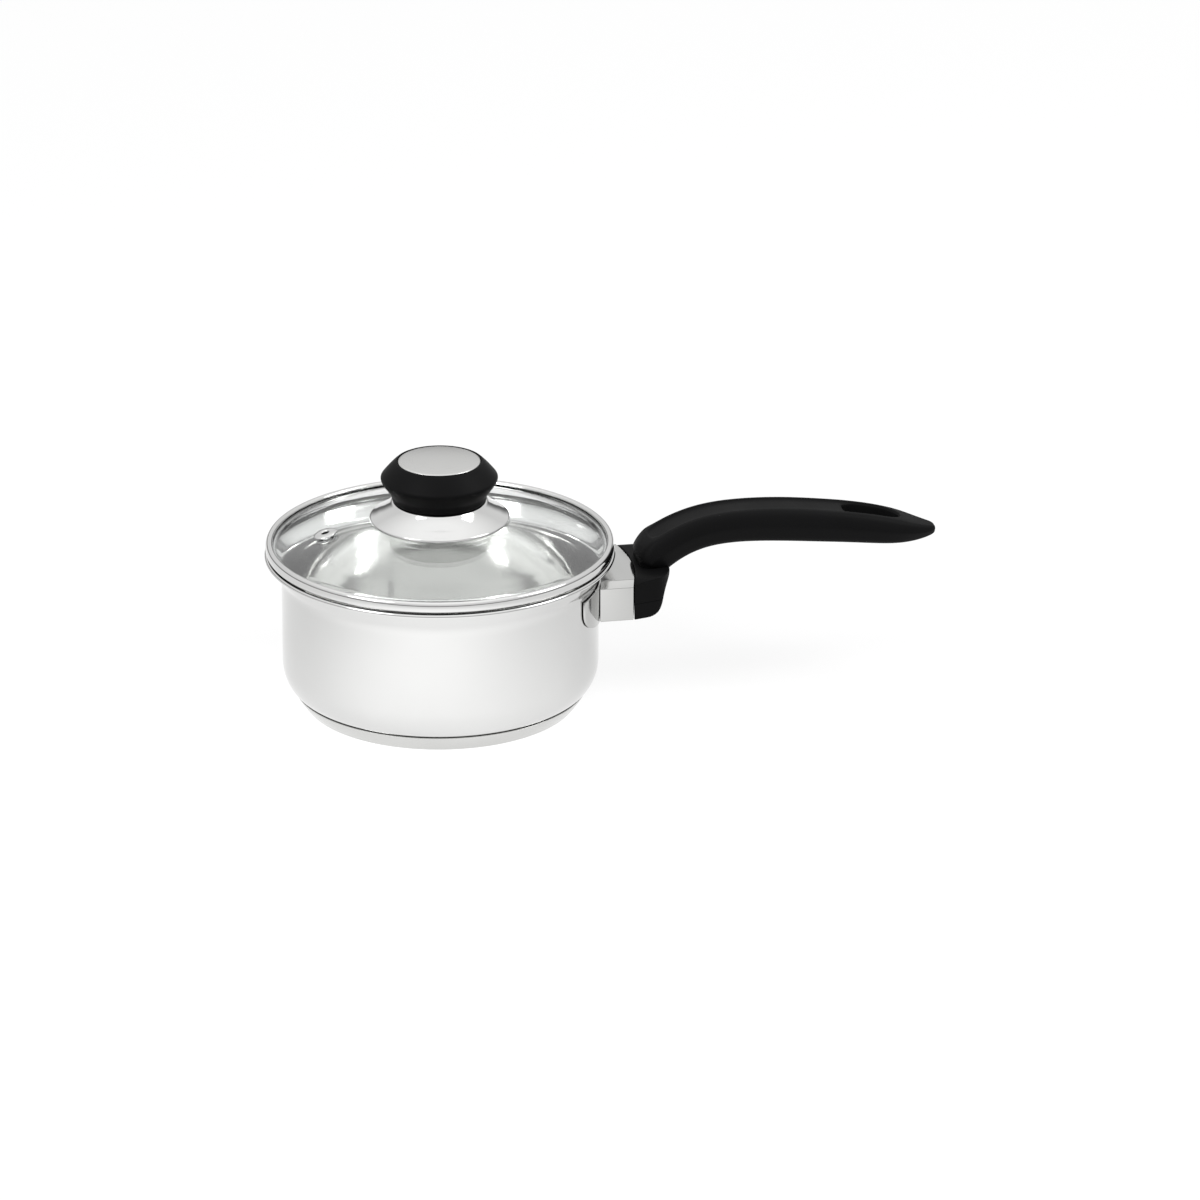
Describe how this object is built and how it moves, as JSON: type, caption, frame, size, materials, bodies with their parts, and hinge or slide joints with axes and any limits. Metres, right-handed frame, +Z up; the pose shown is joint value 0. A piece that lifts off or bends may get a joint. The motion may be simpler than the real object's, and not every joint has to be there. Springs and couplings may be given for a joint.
{
  "type": "saucepan",
  "caption": "Small steel saucepan with a flared rim, a domed glass lid with a knob and a steam vent, and a curved black handle with a hanging slot.",
  "frame": {"origin": "centre of the flat underside of the base, on the axis of the bowl", "axes": "+Z up along the axis of the bowl, +X out along the handle"},
  "size_m": [0.3439, 0.1768, 0.1303],
  "materials": {
    "polished_steel": "mirror-polished stainless steel with fine wiping marks",
    "satin_steel": "satin stainless steel with fine turned lines",
    "aluminium_core": "rolled, dull",
    "zinc_steel": "zinc-plated steel, dull",
    "phenolic": "black phenolic moulding, satin with a very fine texture",
    "lid_glass": "clear tempered glass, faint green edge",
    "brass": "turned brass",
    "silicone": "matt translucent silicone"
  },
  "bodies": {
    "pan": {"pan_shell": "polished_steel", "base_core": "aluminium_core", "base_cap": "satin_steel", "weld_plate": "polished_steel", "bracket_tongue": "zinc_steel", "flame_guard": "polished_steel", "handle_body": "phenolic", "handle_screw": "zinc_steel", "handle_lock_washer": "zinc_steel", "handle_nut": "zinc_steel"},
    "lid": {"lid_glass": "lid_glass", "lid_ring": "polished_steel", "vent_eyelet": "polished_steel", "vent_washer": "polished_steel", "knob_skirt": "polished_steel", "knob_body": "phenolic", "knob_cap": "satin_steel", "knob_insert": "brass", "knob_screw": "zinc_steel", "knob_lock_washer": "zinc_steel", "knob_washer": "zinc_steel", "knob_gasket": "silicone", "knob_bush": "silicone"}
  },
  "joints": [
    {"name": "lid_lift", "type": "slide", "parent": "pan", "child": "lid", "axis": [0, 0, 1], "range_m": [0, 0.12]}
  ]
}
